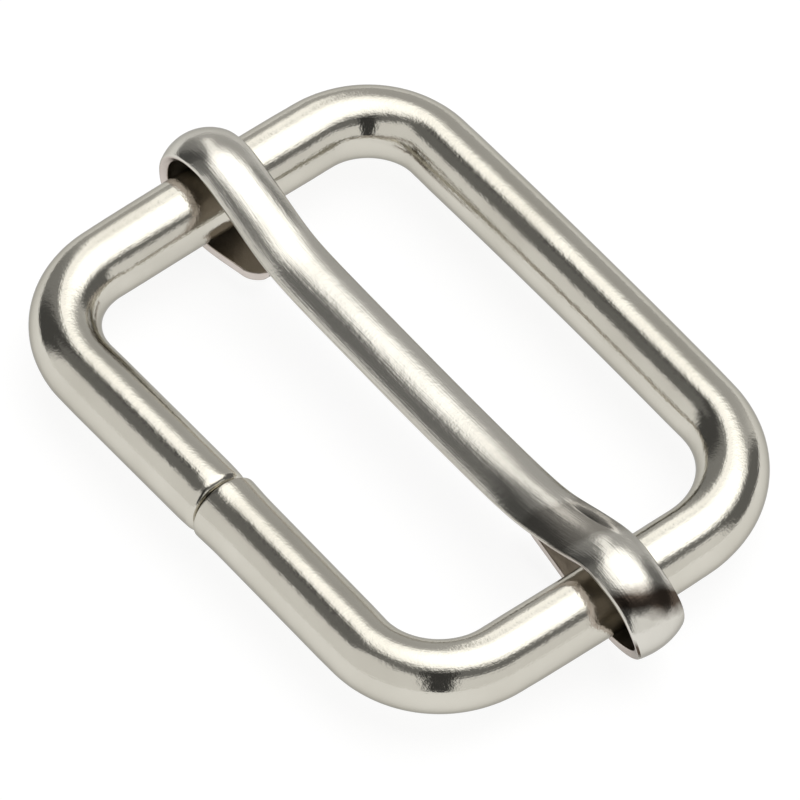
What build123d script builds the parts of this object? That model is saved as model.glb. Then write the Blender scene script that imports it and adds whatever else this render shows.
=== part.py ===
"""Wire webbing slider with a movable centre bar, for 25 mm (1 in) webbing.

Two pieces: a rounded rectangle bent from one length of round wire, and a sheet-metal bar
whose two ends are curled loosely round the rectangle's short sides, so that it slides along them.

Millimetres. +X runs along the bar, +Y is the way the bar slides, +Z is the bar's crowned side.
The origin is the centre of the wire rectangle, in the plane of its centreline.
"""
import os
from math import asin, cos, radians, sin

from build123d import *

# ---- wire frame -------------------------------------------------------------------------
WIRE_DIAMETER = 3.5
HALF_LENGTH = 14.8            # centreline, along X: leaves 26.1 mm between the rails
HALF_WIDTH = 10.56            # centreline, along Y: leaves 17.6 mm between the long sides
BACK_RIGHT_BEND = 5.6         # centreline radii; hand-fed bends, so no two are quite the same
BACK_LEFT_BEND = 4.25
FRONT_LEFT_BEND = 4.6
FRONT_RIGHT_BEND = 4.65
BACK_BOW = 0.24               # how far each side's middle stands out from its corners
LEFT_BOW = 0.14
RIGHT_BOW = 0.12
BOW_SHARE = 0.9               # share of a side, between its bends, that the bow is spread over
JOINT_X = -0.15               # where the wire's two ends meet, on the front side
JOINT_GAP = 0.08
LEFT_END_SET_IN = 0.06        # both runs lean in towards the joint, and not by the same amount
RIGHT_END_SET_IN = 0.14
LEFT_END_ROUNDING = 0.30
RIGHT_END_ROUNDING = 0.14

# ---- sliding bar ------------------------------------------------------------------------
SHEET = 0.5
BAR_SHIFT_X = 0.8             # the loops are loose, and the bar lies against the left rail
BAR_CENTRE_Y = 0.505
BAR_SKEW = 0.676              # degrees, clockwise seen from above

# Stations along the sheet, from the left tab's tip over the bar to the right tab's tip, in the
# bar's own frame: (place along X, height, half width, crown, sideways drift, roll in degrees).
# Height is that of the line joining the sheet's two edges; crown is how far its arch rises above
# it; roll turns the section towards the front, because the bar leans in its loose loops.
STATIONS = [
    (-11.65, -1.94, 0.34, 0.05, 0.05, 0),    # left tab's tip
    (-11.9, -1.97, 0.62, 0.05, 0.05, 0),
    (-12.4, -2.04, 0.84, 0.06, 0.04, 0),
    (-13.6, -2.20, 1.00, 0.08, 0.02, 0),
    (-15.1, -2.33, 1.14, 0.10, 0.0, 0),      # under the left rail
    (-16.55, -2.02, 1.24, 0.18, 0.0, 0),
    (-17.55, -1.05, 1.33, 0.30, 0.0, 0),
    (-17.86, 0.25, 1.38, 0.42, 0.0, -1),     # outer wall
    (-17.54, 1.62, 1.42, 0.52, 0.02, -3),
    (-16.6, 2.54, 1.43, 0.55, 0.04, -5),
    (-15.3, 2.85, 1.43, 0.56, 0.04, -5),     # over the left rail
    (-13.7, 2.51, 1.41, 0.52, 0.02, -3),
    (-12.0, 1.89, 1.39, 0.48, 0.0, 0),
    (-10.2, 1.29, 1.37, 0.46, -0.02, 3.5),
    (-8.2, 1.06, 1.37, 0.46, -0.03, 5.5),
    (-4.5, 0.98, 1.37, 0.46, -0.03, 6),
    (0.5, 0.88, 1.37, 0.46, 0.01, 6),        # middle of the bar
    (5.0, 0.85, 1.37, 0.46, 0.07, 6),
    (8.0, 1.08, 1.37, 0.46, 0.05, 6),
    (9.6, 1.48, 1.37, 0.44, 0.0, 5.5),
    (11.2, 2.00, 1.39, 0.41, 0.04, 4),
    (12.7, 2.50, 1.42, 0.38, 0.09, 2),
    (14.1, 2.79, 1.45, 0.40, 0.12, -1),      # over the right rail
    (15.5, 2.49, 1.46, 0.48, 0.12, -5),
    (16.75, 1.82, 1.46, 0.48, 0.15, -6),
    (17.46, 0.84, 1.45, 0.40, 0.20, -4),     # outer wall
    (17.3, -0.36, 1.27, 0.24, 0.31, -5),
    (16.3, -1.52, 1.04, 0.14, 0.40, -7),
    (14.6, -2.20, 0.90, 0.08, 0.49, -10),    # under the right rail
    (12.3, -2.14, 0.80, 0.06, 0.58, -10),
    (10.0, -1.86, 0.70, 0.05, 0.70, -10),
    (8.3, -1.62, 0.58, 0.05, 0.79, -10),
    (7.7, -1.54, 0.40, 0.05, 0.82, -10),
    (7.45, -1.51, 0.22, 0.05, 0.83, -10),    # right tab's tip
]


def bow_radius(half_side, bend, bow):
    """Radius that spreads the slight turn at the middle of a bowed side over most of its length."""
    tangent_length = BOW_SHARE * (half_side - bend)
    return tangent_length * half_side / bow


def wire_route():
    """Corners of the wire's centreline, from one cut end round to the other, and their radii."""
    right_end = (JOINT_X + JOINT_GAP / 2, -HALF_WIDTH + RIGHT_END_SET_IN)
    left_end = (JOINT_X - JOINT_GAP / 2, -HALF_WIDTH + LEFT_END_SET_IN)
    corners = [
        ((HALF_LENGTH, -HALF_WIDTH), FRONT_RIGHT_BEND),
        ((HALF_LENGTH + RIGHT_BOW, 0), bow_radius(HALF_WIDTH, BACK_RIGHT_BEND, RIGHT_BOW)),
        ((HALF_LENGTH, HALF_WIDTH), BACK_RIGHT_BEND),
        ((0, HALF_WIDTH + BACK_BOW), bow_radius(HALF_LENGTH, BACK_RIGHT_BEND, BACK_BOW)),
        ((-HALF_LENGTH, HALF_WIDTH), BACK_LEFT_BEND),
        ((-HALF_LENGTH - LEFT_BOW, 0), bow_radius(HALF_WIDTH, FRONT_LEFT_BEND, LEFT_BOW)),
        ((-HALF_LENGTH, -HALF_WIDTH), FRONT_LEFT_BEND),
    ]
    points = [right_end] + [point for point, _ in corners] + [left_end]
    radii = [radius for _, radius in corners]
    return points, radii


def make_wire_frame():
    """One length of round wire, bent to a rounded rectangle, its ends butted but not joined."""
    points, radii = wire_route()
    with BuildPart() as frame:
        with BuildLine() as centreline:
            FilletPolyline(*points, radius=radii)
        with BuildSketch(Plane(origin=centreline.line @ 0, z_dir=centreline.line % 0)):
            Circle(WIRE_DIAMETER / 2)
        sweep()
        ends = frame.faces().filter_by(GeomType.PLANE)
        fillet(ends.sort_by(Axis.X)[-1].edges(), RIGHT_END_ROUNDING)
        ends = frame.faces().filter_by(GeomType.PLANE)
        fillet(ends.sort_by(Axis.X)[0].edges(), LEFT_END_ROUNDING)
    frame.part.label = "wire_frame"
    return frame


def bar_plane():
    """The bar's own frame: shifted against the left rail and a little askew."""
    skew = radians(BAR_SKEW)
    return Plane(
        origin=(BAR_SHIFT_X, BAR_CENTRE_Y, 0),
        x_dir=(cos(skew), -sin(skew), 0),
        z_dir=(0, 0, 1),
    )


def station_planes():
    """A plane across the sheet at each station; its x runs sideways and its y points outwards."""
    base = bar_plane()
    planes = []
    last = len(STATIONS) - 1
    for index, (x, z, _, _, drift, roll) in enumerate(STATIONS):
        before = STATIONS[max(index - 1, 0)]
        after = STATIONS[min(index + 1, last)]
        forward = base.x_dir * (after[0] - before[0]) + base.z_dir * (after[1] - before[1])
        origin = base.from_local_coords((x, drift, z))
        level = Plane(origin=origin, x_dir=base.y_dir, z_dir=forward)
        planes.append(level.rotated((0, 0, roll)))
    return planes


def arc_points(half_width, crown, lift):
    """End, middle and end of an arc parallel to the sheet's middle one, lifted off it by lift."""
    radius = (half_width**2 + crown**2) / (2 * crown)
    half_angle = asin(min(1, half_width / radius))
    centre = crown - radius
    edge_x = (radius + lift) * sin(half_angle)
    edge_y = centre + (radius + lift) * cos(half_angle)
    return (-edge_x, edge_y), (0, centre + radius + lift), (edge_x, edge_y)


def sheet_section(plane, half_width, crown):
    """The sheet cut across: an arched strip of even thickness with square edges."""
    outer = arc_points(half_width, crown, SHEET / 2)
    inner = arc_points(half_width, crown, -SHEET / 2)
    with BuildSketch(plane) as section:
        with BuildLine():
            ThreePointArc(*outer)
            Line(outer[2], inner[2])
            ThreePointArc(inner[2], inner[1], inner[0])
            Line(inner[0], outer[0])
        make_face()
    return section


def make_sliding_bar():
    """One strip of sheet: a shallow arch across the frame, curled at each end into a loop."""
    with BuildPart() as bar:
        sections = []
        for plane, (_, _, half_width, crown, _, _) in zip(station_planes(), STATIONS):
            sections.append(sheet_section(plane, half_width, crown).sketch)
        loft(sections)
    bar.part.label = "sliding_bar"
    return bar


os.makedirs("parts", exist_ok=True)
wire_frame = make_wire_frame()
export_step(wire_frame.part, "parts/wire_frame.step")
sliding_bar = make_sliding_bar()
export_step(sliding_bar.part, "parts/sliding_bar.step")
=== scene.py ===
"""Wire webbing slider: the looks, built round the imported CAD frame.

Metres, in the CAD's own frame: +X runs along the bar, +Y is the way the bar slides, +Z is the
bar's crowned side, and the origin is the centre of the wire rectangle.
"""

from math import atan2, cos, pi, radians, sin, sqrt, tan

import bpy
import numpy as np
from mathutils import Matrix, Vector


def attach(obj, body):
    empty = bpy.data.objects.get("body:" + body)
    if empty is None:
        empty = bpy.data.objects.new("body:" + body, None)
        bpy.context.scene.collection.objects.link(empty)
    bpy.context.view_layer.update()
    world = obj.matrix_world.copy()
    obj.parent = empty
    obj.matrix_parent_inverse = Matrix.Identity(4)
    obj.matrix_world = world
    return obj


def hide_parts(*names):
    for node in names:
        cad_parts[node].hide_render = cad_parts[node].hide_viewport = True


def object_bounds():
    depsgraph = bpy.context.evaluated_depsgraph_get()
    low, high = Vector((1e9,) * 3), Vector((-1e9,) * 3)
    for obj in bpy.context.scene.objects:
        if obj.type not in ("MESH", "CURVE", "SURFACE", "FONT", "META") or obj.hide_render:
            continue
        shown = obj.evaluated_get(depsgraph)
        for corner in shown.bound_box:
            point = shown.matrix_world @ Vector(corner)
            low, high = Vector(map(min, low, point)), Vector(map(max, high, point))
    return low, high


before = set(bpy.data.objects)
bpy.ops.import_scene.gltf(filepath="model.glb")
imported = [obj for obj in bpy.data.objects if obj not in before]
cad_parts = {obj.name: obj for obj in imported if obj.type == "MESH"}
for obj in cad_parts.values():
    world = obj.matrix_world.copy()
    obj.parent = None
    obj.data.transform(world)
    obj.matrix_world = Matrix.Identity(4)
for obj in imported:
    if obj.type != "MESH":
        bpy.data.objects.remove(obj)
cad_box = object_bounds()

MM = 0.001

# ---- wire frame, in millimetres ---------------------------------------------------------
WIRE_RADIUS = 1.75
HALF_LENGTH = 14.8            # centreline, along X
HALF_WIDTH = 10.56            # centreline, along Y
BACK_RIGHT_BEND = 5.6         # centreline radii
BACK_LEFT_BEND = 4.25
FRONT_LEFT_BEND = 4.6
FRONT_RIGHT_BEND = 4.65
BACK_BOW = 0.24               # how far each side's middle stands out from its corners
LEFT_BOW = 0.14
RIGHT_BOW = 0.12
BOW_SHARE = 0.9               # share of a side, between its bends, that the bow is spread over
BEND_THINNING = 0.10          # share of the wire's width lost, for each 1/mm of curvature
JOINT_X = -0.15               # where the wire's two ends meet, on the front side
JOINT_GAP = 0.16
LEFT_END_SET_IN = 0.06        # both runs lean in towards the joint
RIGHT_END_SET_IN = 0.14
LEFT_END_ROUNDING = 0.42
RIGHT_END_ROUNDING = 0.10
END_SWELL = 0.05              # the right end is swollen by the cutting, and the left drawn in
RIGHT_SWELL_REACH = 0.9
LEFT_SWELL_REACH = 0.7
RIGHT_FACE_RINGS = (1.6, 1.2, 0.8, 0.4)      # how far in from the wire's surface
LEFT_FACE_RINGS = (0.35, 0.7, 1.0, 1.25)     # how far in from the rounding
WIRE_SIDES = 96
WIRE_SPACING = 0.22

# ---- sliding bar, in millimetres --------------------------------------------------------
SHEET = 0.48
BAR_SHIFT_X = 0.8
BAR_CENTRE_Y = 0.505
BAR_SKEW = 0.676
EDGE_ROUNDING = 0.16          # on the outer face
BURR_ROUNDING = 0.06          # on the inner face
BAR_SPACING = 0.2
OUTER_POINTS = 33             # across the outer face of a section
INNER_POINTS = 25             # across its inner face
TURN_POINTS = 7               # round one of its corners

TOP_FLATNESS = 0.22           # the arch is flatter on top in the middle of the bar
TOP_FLATNESS_REACH = 11
BRIM_SLOPE = 0.75             # radians; the back edge steps up before the right loop
BRIM_X = 11.9
BRIM_REACH = 1.7
CREASE_START = 0.48           # share of the way from the middle line to the back edge, and so on
CREASE_WIDTH = 0.14
EASE_START = 0.66
EASE_WIDTH = 0.12
EASE_SHARE = 0.45             # share of the brim's slope that is lost again towards the edge

TIP_LENGTH = 0.9              # of each tab's rounded tip
TIP_RINGS = 22
TIP_THINNING = 0.55           # share of the thickness lost at the very tip
LEAST_TAPER = 0.02            # share of the width left at the last ring

# Stations of the sheet from one tab's tip to the other's, in the bar's own frame:
# place along X, height, half width, crown, sideways drift, roll towards the front in degrees.
STATIONS = [
    (-11.6, -1.93, 0.80, 0.06, 0.05, 0),     # left tab's tip
    (-13.6, -2.20, 1.00, 0.08, 0.02, 0),
    (-15.1, -2.33, 1.14, 0.10, 0.0, 0),      # under the left rail
    (-16.55, -2.02, 1.24, 0.18, 0.0, 0),
    (-17.55, -1.05, 1.33, 0.30, 0.0, 0),
    (-17.86, 0.25, 1.38, 0.42, 0.0, -1),     # outer wall
    (-17.54, 1.62, 1.42, 0.52, 0.02, -3),
    (-16.6, 2.54, 1.43, 0.55, 0.04, -5),
    (-15.3, 2.85, 1.43, 0.56, 0.04, -5),     # over the left rail
    (-13.7, 2.51, 1.41, 0.52, 0.02, -3),
    (-12.0, 1.89, 1.39, 0.48, 0.0, 0),
    (-10.2, 1.29, 1.37, 0.46, -0.02, 3.5),
    (-8.2, 1.06, 1.37, 0.46, -0.03, 5.5),
    (-4.5, 0.98, 1.37, 0.46, -0.03, 6),
    (0.5, 0.88, 1.37, 0.46, 0.01, 6),        # middle of the bar
    (5.0, 0.85, 1.37, 0.46, 0.07, 6),
    (8.0, 1.08, 1.37, 0.46, 0.05, 6),
    (9.6, 1.48, 1.37, 0.44, 0.0, 5.5),
    (11.2, 2.00, 1.39, 0.41, 0.04, 4),
    (12.7, 2.50, 1.42, 0.38, 0.09, 2),
    (14.1, 2.79, 1.45, 0.40, 0.12, -1),      # over the right rail
    (15.5, 2.49, 1.46, 0.48, 0.12, -5),
    (16.75, 1.82, 1.46, 0.48, 0.15, -6),
    (17.46, 0.84, 1.45, 0.40, 0.20, -4),     # outer wall
    (17.3, -0.36, 1.27, 0.24, 0.31, -5),
    (16.3, -1.52, 1.04, 0.14, 0.40, -7),
    (14.6, -2.20, 0.90, 0.08, 0.49, -10),    # under the right rail
    (12.3, -2.14, 0.80, 0.06, 0.58, -10),
    (10.0, -1.86, 0.70, 0.05, 0.70, -10),
    (7.4, -1.50, 0.62, 0.05, 0.83, -10),     # right tab's tip
]


# ---- meshes -----------------------------------------------------------------------------
def grid_mesh(name, rings, along, around, slots=None):
    """A closed tube through rings of points, its two ends capped, with a UV of millimetres run.

    slots gives the material slot of each strip between one point of a ring and the next. The
    faces are wound inwards.
    """
    rings = np.asarray(rings)
    count, sides = rings.shape[:2]
    points = [tuple(p) for p in rings.reshape(-1, 3) * MM]
    faces = []
    for i in range(count - 1):
        for j in range(sides):
            k = (j + 1) % sides
            faces.append((i * sides + j, i * sides + k, (i + 1) * sides + k, (i + 1) * sides + j))
    for ring, turn in ((0, -1), (count - 1, 1)):
        centre = len(points)
        points.append(tuple(rings[ring].mean(axis=0) * MM))
        for j in range(sides):
            k = (j + 1) % sides
            corner = (ring * sides + j, ring * sides + k)
            faces.append((*corner[::turn], centre))
    mesh = bpy.data.meshes.new(name)
    mesh.from_pydata(points, [], faces)
    mesh.update()
    uv = mesh.uv_layers.new(name="run")
    for number, polygon in enumerate(mesh.polygons):
        polygon.use_smooth = True
        strip = number % sides
        if slots:
            polygon.material_index = slots[strip]
        for corner in polygon.loop_indices:
            ring, side = divmod(min(mesh.loops[corner].vertex_index, count * sides - 1), sides)
            lap = around[ring][-1] + around[ring][1] if strip == sides - 1 and side == 0 else 0.0
            uv.data[corner].uv = (along[ring], around[ring][side] + lap)
    piece = bpy.data.objects.new(name, mesh)
    bpy.context.scene.collection.objects.link(piece)
    return piece


def bow_radius(half_side, bend, bow):
    """Radius that spreads the slight turn at the middle of a bowed side over most of its length."""
    return BOW_SHARE * (half_side - bend) * half_side / bow


def wire_route():
    """Corners of the wire's centreline, from one cut end round to the other, and their radii."""
    right_end = (JOINT_X + JOINT_GAP / 2, -HALF_WIDTH + RIGHT_END_SET_IN)
    left_end = (JOINT_X - JOINT_GAP / 2, -HALF_WIDTH + LEFT_END_SET_IN)
    corners = [
        ((HALF_LENGTH, -HALF_WIDTH), FRONT_RIGHT_BEND),
        ((HALF_LENGTH + RIGHT_BOW, 0), bow_radius(HALF_WIDTH, BACK_RIGHT_BEND, RIGHT_BOW)),
        ((HALF_LENGTH, HALF_WIDTH), BACK_RIGHT_BEND),
        ((0, HALF_WIDTH + BACK_BOW), bow_radius(HALF_LENGTH, BACK_RIGHT_BEND, BACK_BOW)),
        ((-HALF_LENGTH, HALF_WIDTH), BACK_LEFT_BEND),
        ((-HALF_LENGTH - LEFT_BOW, 0), bow_radius(HALF_WIDTH, FRONT_LEFT_BEND, LEFT_BOW)),
        ((-HALF_LENGTH, -HALF_WIDTH), FRONT_LEFT_BEND),
    ]
    points = [right_end] + [point for point, _ in corners] + [left_end]
    return [np.array(p, float) for p in points], [radius for _, radius in corners]


def route_spans(points, radii):
    """Straight runs and tangent arcs: (length, start, direction angle, curvature) each."""
    spans = []
    start = points[0]
    for before, corner, after, radius in zip(points, points[1:], points[2:], radii):
        heading_in = atan2(*(corner - before)[::-1])
        heading_out = atan2(*(after - corner)[::-1])
        turn = (heading_out - heading_in + pi) % (2 * pi) - pi
        reach = radius * tan(abs(turn) / 2)
        arc_start = corner - reach * np.array([cos(heading_in), sin(heading_in)])
        spans.append((np.hypot(*(arc_start - start)), start, heading_in, 0.0))
        spans.append((radius * abs(turn), arc_start, heading_in, np.sign(turn) / radius))
        start = corner + reach * np.array([cos(heading_out), sin(heading_out)])
    heading = atan2(*(points[-1] - start)[::-1])
    spans.append((np.hypot(*(points[-1] - start)), start, heading, 0.0))
    return spans


def along_route(spans, distance):
    """Position, heading and curvature at a distance along the spans.

    Fault: at the full length, rounding can take off the last span too, which gives its start.
    """
    for length, start, heading, curvature in spans:
        if distance <= length:
            break
        distance -= length
    if curvature == 0:
        step = distance * np.array([cos(heading), sin(heading)])
        return start + step, heading, curvature
    end = heading + curvature * distance
    step = np.array([sin(end) - sin(heading), cos(heading) - cos(end)]) / curvature
    return start + step, end, curvature


def swell(place, middle, reach):
    """A smooth rise to 1 at the middle that dies away over the reach."""
    return np.exp(-(((place - middle) / reach) ** 2))


def wire_stops(total):
    """Rings along the wire, as (distance, how far in from its surface): end face, body, end face."""
    stops = [(0.0, shrink) for shrink in RIGHT_FACE_RINGS]
    for a in np.linspace(0, pi / 2, 7):
        stops.append((RIGHT_END_ROUNDING * (1 - cos(a)), RIGHT_END_ROUNDING * (1 - sin(a))))
    body = np.arange(RIGHT_END_ROUNDING + 0.1, total - LEFT_END_ROUNDING - 0.05, WIRE_SPACING)
    stops += [(distance, 0.0) for distance in body]
    for a in np.linspace(0, pi / 2, 9):
        stops.append((total - LEFT_END_ROUNDING * (1 - sin(a)), LEFT_END_ROUNDING * (1 - cos(a))))
    return stops + [(total, LEFT_END_ROUNDING + shrink) for shrink in LEFT_FACE_RINGS]


def make_wire():
    """The bent wire: a tube that thins a little in its bends, its two ends butted.

    The left end's face has the fault that along_route names, so that end is hollow.
    """
    spans = route_spans(*wire_route())
    total = sum(span[0] for span in spans)
    rings, along, around = [], [], []
    angles = np.linspace(0, 2 * pi, WIRE_SIDES, endpoint=False)
    for distance, shrink in wire_stops(total):
        centre, heading, _ = along_route(spans, distance)
        nearby = [min(max(distance + d, 0), total) for d in (-1, -0.5, 0, 0.5, 1)]
        bend = np.mean([abs(along_route(spans, near)[2]) for near in nearby])
        outward = np.array([sin(heading), -cos(heading), 0])
        right, left = swell(distance, 0, RIGHT_SWELL_REACH), swell(distance, total, LEFT_SWELL_REACH)
        swelling = END_SWELL * right - END_SWELL * left
        across = WIRE_RADIUS * (1 - BEND_THINNING * bend) + swelling - shrink
        upright = WIRE_RADIUS + swelling - shrink
        ring = []
        for angle in angles:
            out, up = across * cos(angle), upright * sin(angle)
            ring.append(np.array([*centre, 0]) + out * outward + np.array([0, 0, up]))
        rings.append(ring)
        along.append(distance)
        around.append(angles * WIRE_RADIUS)
    return grid_mesh("wire", rings, along, around)


def natural_spline(knots, values, at):
    """Natural cubic spline through rows of values, read at the given places."""
    steps = np.diff(knots)
    count = len(knots)
    matrix = np.eye(count)
    right = np.zeros_like(values)
    for i in range(1, count - 1):
        matrix[i, i - 1] = steps[i - 1]
        matrix[i, i] = 2 * (steps[i - 1] + steps[i])
        matrix[i, i + 1] = steps[i]
        right[i] = 6 * (
            (values[i + 1] - values[i]) / steps[i] - (values[i] - values[i - 1]) / steps[i - 1]
        )
    second = np.linalg.solve(matrix, right)
    index = np.clip(np.searchsorted(knots, at) - 1, 0, count - 2)
    step = steps[index][:, None]
    a = (knots[index + 1] - at)[:, None]
    b = (at - knots[index])[:, None]
    return (
        (second[index] * a**3 + second[index + 1] * b**3) / (6 * step)
        + (values[index] / step - second[index] * step / 6) * a
        + (values[index + 1] / step - second[index + 1] * step / 6) * b
    )


def sheet_section(half_width, crown, thickness, flat, brim):
    """Loop round the cut sheet: outer face, edge, inner face, edge, as (sideways, outwards).

    flat moves the arch's bend from its middle to its flanks. brim steps its back edge up: how
    steeply, in radians, beyond the crease.
    """
    most = 2 * atan2(crown, half_width) / (1 - 0.5 * flat)
    share = np.linspace(-1, 1, 121)
    crease = np.clip((share - CREASE_START) / CREASE_WIDTH, 0, 1)
    ease = np.clip((share - EASE_START) / EASE_WIDTH, 0, 1)
    angle = most * (share * (1 - flat) + share**3 * flat) - brim * (crease - EASE_SHARE * ease)
    step = np.diff(share)
    middle = (angle[1:] + angle[:-1]) / 2
    y = np.concatenate([[0], np.cumsum(np.cos(middle) * step)])
    n = np.concatenate([[0], np.cumsum(-np.sin(middle) * step)])
    y -= (y[0] + y[-1]) / 2
    n -= (n[0] + n[-1]) / 2
    half = half_width / y[-1]
    y, n = y * half, n * half

    def at(place, lift):
        """A point lifted off the sheet's middle, at a place from -1 to 1 across it."""
        tilt = np.interp(place, share, angle)
        base = np.interp(place, share, y), np.interp(place, share, n)
        return base[0] + lift * sin(tilt), base[1] + lift * cos(tilt)

    def edge(side, out, lift):
        """A point beyond an edge of the sheet's middle: out along it, and lifted off it."""
        tilt = angle[-1] if side > 0 else angle[0]
        base = (y[-1], n[-1]) if side > 0 else (y[0], n[0])
        return (
            base[0] + side * out * cos(tilt) + lift * sin(tilt),
            base[1] - side * out * sin(tilt) + lift * cos(tilt),
        )

    top, burr = min(EDGE_ROUNDING, thickness * 0.4), min(BURR_ROUNDING, thickness * 0.2)
    loop = []
    turns = np.linspace(0, pi / 2, TURN_POINTS)
    for place in np.linspace(-1 + top / half, 1 - top / half, OUTER_POINTS):
        loop.append(at(place, thickness / 2))
    for a in turns[1:]:
        loop.append(edge(1, -top * (1 - sin(a)), thickness / 2 - top * (1 - cos(a))))
    loop.append(edge(1, 0, 0.0))
    for a in turns:
        loop.append(edge(1, -burr * (1 - cos(a)), -thickness / 2 + burr * (1 - sin(a))))
    for place in np.linspace(1 - 2 * burr / half, -1 + 2 * burr / half, INNER_POINTS):
        loop.append(at(place, -thickness / 2))
    for a in turns[::-1]:
        loop.append(edge(-1, -burr * (1 - cos(a)), -thickness / 2 + burr * (1 - sin(a))))
    loop.append(edge(-1, 0, 0.0))
    for a in turns[:0:-1]:
        loop.append(edge(-1, -top * (1 - sin(a)), thickness / 2 - top * (1 - cos(a))))
    return loop


def section_slots(sides):
    """Material slot of each strip round a section: 0 outer face, 1 cut edges, 2 inner face."""
    rounding = TURN_POINTS // 2
    edge = TURN_POINTS * 2 - 1
    slots = [0] * (OUTER_POINTS + rounding) + [1] * (edge - rounding)
    slots += [2] * (INNER_POINTS + 1) + [1] * (edge - 2)
    return slots + [0] * (sides - len(slots))


def make_bar():
    """The sheet bar: one strip, shallowly arched across and curled into a loop at each end."""
    rows = np.array(STATIONS, float)
    knots = np.concatenate([[0], np.cumsum(np.hypot(*np.diff(rows[:, :2], axis=0).T))])
    total = knots[-1]
    body = np.arange(TIP_LENGTH, total - TIP_LENGTH, BAR_SPACING)
    turns = np.linspace(0, pi / 2, TIP_RINGS)[:-1]
    places = np.concatenate([
        TIP_LENGTH * (1 - np.sin(turns[::-1])), body[1:], total - TIP_LENGTH * (1 - np.sin(turns)),
    ])
    values = natural_spline(knots, rows, places)
    ahead = natural_spline(knots, rows, np.minimum(places + 0.01, total))
    behind = natural_spline(knots, rows, np.maximum(places - 0.01, 0))
    run = (ahead - behind)[:, :2]
    run /= np.linalg.norm(run, axis=1)[:, None]
    skew = radians(BAR_SKEW)
    rings, around = [], []
    for place, (x, z, half_width, crown, drift, roll), (run_x, run_z) in zip(places, values, run):
        to_tip = min(place, total - place)
        taper = 1.0
        if to_tip < TIP_LENGTH:
            taper = sqrt(max(1 - (1 - to_tip / TIP_LENGTH) ** 2, LEAST_TAPER**2))
        thickness = SHEET * min(1.0, 1 - TIP_THINNING + TIP_THINNING * min(1.0, taper * 2.2))
        flat = TOP_FLATNESS * swell(x, 0, TOP_FLATNESS_REACH) if z > 0 else 0.0
        brim = BRIM_SLOPE * swell(x, BRIM_X, BRIM_REACH) if z > 0 else 0.0
        loop = sheet_section(half_width * taper, crown * taper**2, thickness, flat, brim)
        ring = []
        lean = radians(roll)
        for y, n in loop:
            y, n = y * cos(lean) - n * sin(lean), y * sin(lean) + n * cos(lean)
            local = np.array([x - n * run_z, y + drift, z + n * run_x])
            ring.append((
                BAR_SHIFT_X + local[0] * cos(skew) + local[1] * sin(skew),
                BAR_CENTRE_Y - local[0] * sin(skew) + local[1] * cos(skew),
                local[2],
            ))
        rings.append(ring)
        lengths = np.hypot(*np.diff(np.array(loop + loop[:1]), axis=0).T)
        around.append(np.concatenate([[0], np.cumsum(lengths)[:-1]]))
    return grid_mesh("bar", rings, places, around, section_slots(len(rings[0])))


# ---- materials --------------------------------------------------------------------------
RIM_TINT = (0.48, 0.475, 0.46)          # the metal is darker where it is seen edge on
PEEL_DEPTH = 0.009                      # millimetres, as are the next
GRAIN_DEPTH = 0.0055
# Painted dark reflection: the dark brown that the bends mix into the bar's colour, and how those bands
# lie.
PAINTED_DARK_REFLECTION_COLOUR = (0.07, 0.048, 0.034)
DARK_BAND_SLANT = 0.35                      # how far a painted dark band leans along the run as it crosses the bar
DARK_BAND_RAGGEDNESS = 0.8
DARK_BAND_EDGE = 0.3
BAR_MIDDLE = 1.45                       # from the first edge of the outer face to its middle line


def math_node(tree, operation, *inputs, clamp=False):
    """Output of a maths node whose inputs are numbers or other nodes' outputs."""
    node = tree.nodes.new("ShaderNodeMath")
    node.operation = operation
    node.use_clamp = clamp
    for socket, value in zip(node.inputs, inputs):
        if isinstance(value, (int, float)):
            socket.default_value = value
        else:
            tree.links.new(value, socket)
    return node.outputs[0]


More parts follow.
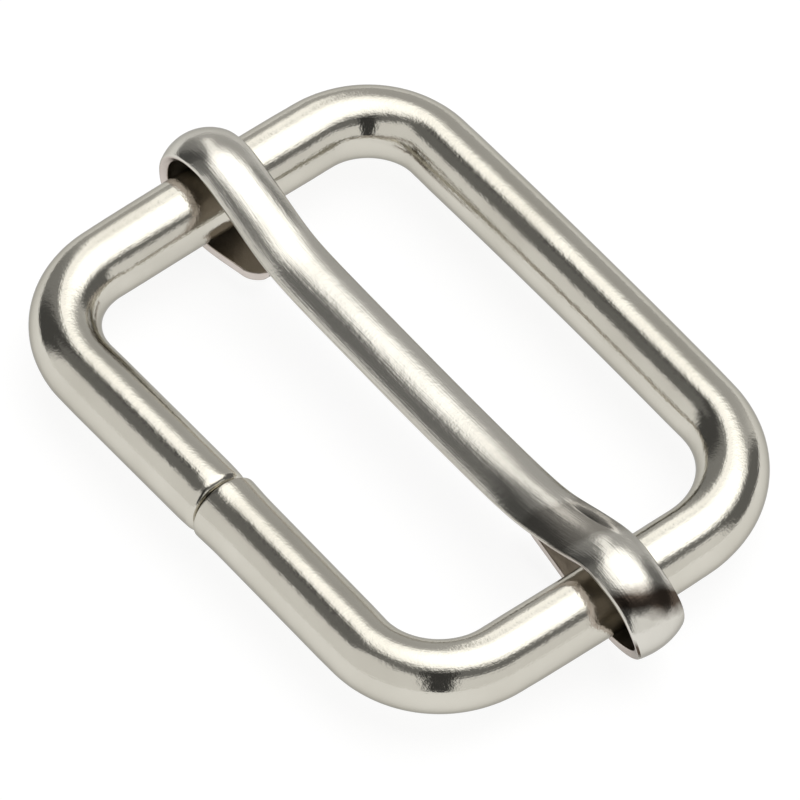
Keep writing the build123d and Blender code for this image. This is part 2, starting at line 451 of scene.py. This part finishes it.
def nickel(name, colour, dull, roughness, grooves=0.003, bends=()):
    """Plated metal: fine pits, a faint ripple in the plating and lines along the stock.

    grooves is how deep the lines are. bends gives places along the run where dark brown is mixed into
    the colour,
    a painted dark reflection: (middle, half width, strength) each, lengths in millimetres.
    """
    material = bpy.data.materials.new(name)
    material.use_nodes = True
    tree = material.node_tree
    nodes, links = tree.nodes, tree.links
    shader = nodes["Principled BSDF"]
    shader.inputs["Metallic"].default_value = 1.0
    shader.inputs["Specular Tint"].default_value = (*RIM_TINT, 1)
    place = nodes.new("ShaderNodeTexCoord")

    def texture(scale, detail, source="Object", stretch=None):
        texture_node = nodes.new("ShaderNodeTexNoise")
        texture_node.inputs["Scale"].default_value = scale
        texture_node.inputs["Detail"].default_value = detail
        vector = place.outputs[source]
        if stretch:
            mapping = nodes.new("ShaderNodeMapping")
            mapping.inputs["Scale"].default_value = stretch
            links.new(vector, mapping.inputs["Vector"])
            vector = mapping.outputs["Vector"]
        links.new(vector, texture_node.inputs["Vector"])
        return texture_node.outputs["Fac"]

    def ramp(source, low, high, start, end):
        node = nodes.new("ShaderNodeMapRange")
        node.inputs["From Min"].default_value = low
        node.inputs["From Max"].default_value = high
        node.inputs["To Min"].default_value = start
        node.inputs["To Max"].default_value = end
        links.new(source, node.inputs["Value"])
        return node.outputs["Result"]

    haze = texture(scale=260, detail=4)
    mix = nodes.new("ShaderNodeMix")
    mix.data_type = "RGBA"
    mix.inputs["A"].default_value = (*colour, 1)
    mix.inputs["B"].default_value = (*dull, 1)
    links.new(ramp(haze, low=0.35, high=0.75, start=0.0, end=0.6), mix.inputs["Factor"])
    tint = mix.outputs["Result"]
    if bends:
        split = nodes.new("ShaderNodeSeparateXYZ")
        links.new(place.outputs["UV"], split.inputs["Vector"])
        ragged = texture(scale=900, detail=3)
        slanted = math_node(tree, "MULTIPLY_ADD", split.outputs["Y"], -DARK_BAND_SLANT, split.outputs["X"])
        run = math_node(tree, "MULTIPLY_ADD", ragged, DARK_BAND_RAGGEDNESS, slanted)
    # Painted dark reflection: each band mixes dark brown into the colour round a place along the run.
    for middle, half, strength in bends:
        centre = middle - DARK_BAND_SLANT * BAR_MIDDLE + DARK_BAND_RAGGEDNESS / 2
        off = math_node(tree, "ABSOLUTE", math_node(tree, "SUBTRACT", run, centre))
        amount = ramp(off, half - DARK_BAND_EDGE, half + DARK_BAND_EDGE, strength, 0.0)
        dark_band = nodes.new("ShaderNodeMix")
        dark_band.data_type = "RGBA"
        dark_band.inputs["B"].default_value = (*PAINTED_DARK_REFLECTION_COLOUR, 1)
        links.new(amount, dark_band.inputs["Factor"])
        links.new(tint, dark_band.inputs["A"])
        tint = dark_band.outputs["Result"]
    links.new(tint, shader.inputs["Base Color"])
    links.new(ramp(haze, 0.3, 0.75, *roughness), shader.inputs["Roughness"])

    previous = None
    lines = texture(scale=1.0, detail=3, source="UV", stretch=(0.35, 14.0, 1.0))
    peel = texture(scale=2600, detail=2)
    grain = texture(scale=9000, detail=2)
    for height, depth in ((peel, PEEL_DEPTH), (grain, GRAIN_DEPTH), (lines, grooves)):
        bump = nodes.new("ShaderNodeBump")
        bump.inputs["Distance"].default_value = depth * MM
        links.new(height, bump.inputs["Height"])
        if previous:
            links.new(previous.outputs["Normal"], bump.inputs["Normal"])
        previous = bump
    links.new(previous.outputs["Normal"], shader.inputs["Normal"])
    return material


# ---- studio -----------------------------------------------------------------------------
# What the metal mirrors: a pale tent, with flags and lamps laid over it one after the other.
# Azimuth is anticlockwise from +X and tilt is from straight up, both in degrees. A card's half
# sizes and soft edge are tangents from its middle; a disc's are degrees.
WALL = 0.89
STUDIO = [
    # name, azimuth, tilt, size, edge, radiance
    ("grey wall at the back left", 140, 82, (0.75, 0.66), 0.28, 0.56),
    ("grey wall at the left", 181, 72, (0.32, 0.90), 0.16, 0.28),
    ("gap round the softbox", 40, 14, 46, 5, 0.20),
    ("flag at the back right", 70, 76, (0.50, 0.56), 0.12, 0.16),
    ("softbox", 95, 20, 34, 8, 1.65),
    ("bright middle of the softbox", 90, 24, 23, 11, 2.2),
    ("cutter at the back left", 122, 62, (0.38, 0.24), 0.20, 0.50),
    ("light strip at the left", 153, 50, (0.09, 0.36), 0.07, 1.55),
    ("flag at the left", 205, 67, (0.31, 0.90), 0.12, 0.08),
    ("flag at the front left", 224, 38, (0.24, 0.22), 0.06, 0.18),
    ("the camera's stand", 321.7, 58, (0.19, 0.60), 0.06, 0.05),
]


def studio_world():
    """A pale tent with a round softbox overhead, grey walls and dark flags."""
    world = bpy.data.worlds.new("studio")
    bpy.context.scene.world = world
    world.use_nodes = True
    tree = world.node_tree
    nodes, links = tree.nodes, tree.links
    background = nodes["Background"]
    place = nodes.new("ShaderNodeTexCoord")

    def inside(distance, half, edge):
        """1 within the half size and 0 beyond it, with a soft edge."""
        soft = nodes.new("ShaderNodeMapRange")
        soft.interpolation_type = "SMOOTHSTEP"
        soft.inputs["From Min"].default_value = half - edge
        soft.inputs["From Max"].default_value = half + edge
        soft.inputs["To Min"].default_value = 1
        soft.inputs["To Max"].default_value = 0
        links.new(distance, soft.inputs["Value"])
        return soft.outputs["Result"]

    def facing(azimuth, tilt):
        """The direction looked in, as seen from a card's middle."""
        turned = nodes.new("ShaderNodeMapping")
        turned.vector_type = "TEXTURE"
        turn = Matrix.Rotation(radians(azimuth - 90), 3, "Z") @ Matrix.Rotation(radians(-tilt), 3, "X")
        turned.inputs["Rotation"].default_value = turn.to_euler()
        links.new(place.outputs["Generated"], turned.inputs["Vector"])
        split = nodes.new("ShaderNodeSeparateXYZ")
        links.new(turned.outputs["Vector"], split.inputs["Vector"])
        return split.outputs

    def disc(azimuth, tilt, radius, edge):
        off = math_node(tree, "ARCCOSINE", facing(azimuth, tilt)["Z"])
        return inside(off, radians(radius), radians(edge))

    def card(azimuth, tilt, half_sizes, edge):
        direction = facing(azimuth, tilt)
        ahead = math_node(tree, "MAXIMUM", direction["Z"], 0.001)
        shares = []
        for axis, half in zip("XY", half_sizes):
            off = math_node(tree, "ABSOLUTE", math_node(tree, "DIVIDE", direction[axis], ahead))
            shares.append(inside(off, half, edge))
        front = math_node(tree, "MULTIPLY", direction["Z"], 20, clamp=True)
        return math_node(tree, "MULTIPLY", math_node(tree, "MULTIPLY", *shares), front)

    radiance = None
    for _, azimuth, tilt, size, edge, level in STUDIO:
        shape = card if isinstance(size, tuple) else disc
        blend = nodes.new("ShaderNodeMix")
        blend.data_type = "FLOAT"
        blend.inputs["A"].default_value = WALL
        blend.inputs["B"].default_value = level
        links.new(shape(azimuth, tilt, size, edge), blend.inputs["Factor"])
        if radiance:
            links.new(radiance, blend.inputs["A"])
        radiance = blend.outputs["Result"]
    links.new(radiance, background.inputs["Strength"])
    background.inputs["Color"].default_value = (1.0, 0.995, 0.98, 1)


FLOOR_GAP = 0.02              # millimetres below the slider
FLOOR_HALF = 1.5              # metres


def make_floor(height):
    """A pale light table that the slider lies on."""
    mesh = bpy.data.meshes.new("light_table")
    signs = ((-1, -1), (1, -1), (1, 1), (-1, 1))
    corners = [(x * FLOOR_HALF, y * FLOOR_HALF, height) for x, y in signs]
    mesh.from_pydata(corners, [], [(0, 1, 2, 3)])
    table = bpy.data.objects.new("light_table", mesh)
    bpy.context.scene.collection.objects.link(table)
    material = bpy.data.materials.new("light_table")
    material.use_nodes = True
    shader = material.node_tree.nodes["Principled BSDF"]
    shader.inputs["Base Color"].default_value = (0.2, 0.2, 0.2, 1)
    shader.inputs["Roughness"].default_value = 1.0
    shader.inputs["Specular IOR Level"].default_value = 0.0
    shader.inputs["Emission Color"].default_value = (1, 1, 1, 1)
    shader.inputs["Emission Strength"].default_value = 0.86
    mesh.materials.append(material)


def make_camera():
    """The camera, from the front right and above, far off with a long lens."""
    azimuth, elevation, distance = radians(51.68), radians(51.64), 1.0824
    back = Vector((sin(azimuth) * cos(elevation), -cos(azimuth) * cos(elevation), sin(elevation)))
    data = bpy.data.cameras.new("camera")
    data.lens = 1051.4
    data.sensor_width = 36
    data.shift_x = -0.0020
    data.shift_y = -0.0021
    data.clip_start = 0.05
    data.clip_end = 10
    camera = bpy.data.objects.new("camera", data)
    camera.location = back * distance
    camera.rotation_euler = (-back).to_track_quat("-Z", "Y").to_euler()
    bpy.context.scene.collection.objects.link(camera)
    bpy.context.scene.camera = camera


# ---- the model --------------------------------------------------------------------------
make_camera()
studio_world()
make_floor(cad_box[0].z - FLOOR_GAP * MM)

wire = make_wire()
wire.data.materials.append(nickel("wire_nickel", (0.63, 0.607, 0.54), (0.53, 0.505, 0.44), (0.08, 0.17)))
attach(wire, "frame")
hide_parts("wire_frame")

bar = make_bar()
# The two bends on the right loop paint dark brown bands into the colour: painted dark reflection under
# the loop's highlight and over its saddle.
bar.data.materials.append(nickel(
    "bar_nickel", (0.66, 0.64, 0.585), (0.54, 0.52, 0.465), (0.15, 0.24), 0.007,
    [(44.4, 0.55, 0.95), (38.9, 1.7, 0.42)],
))
bar.data.materials.append(nickel("bar_cut_edge", (0.66, 0.60, 0.56), (0.50, 0.45, 0.41), (0.22, 0.34)))
# The inner face is painted very dark brown: painted shade for the hollow under the sheet, which the
# glowing light table would otherwise light.
bar.data.materials.append(nickel("bar_inside_painted_shade", (0.16, 0.135, 0.105), (0.34, 0.30, 0.25), (0.30, 0.45)))
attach(bar, "bar")
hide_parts("sliding_bar")

view_settings = bpy.context.scene.view_settings
view_settings.view_transform = "Standard"
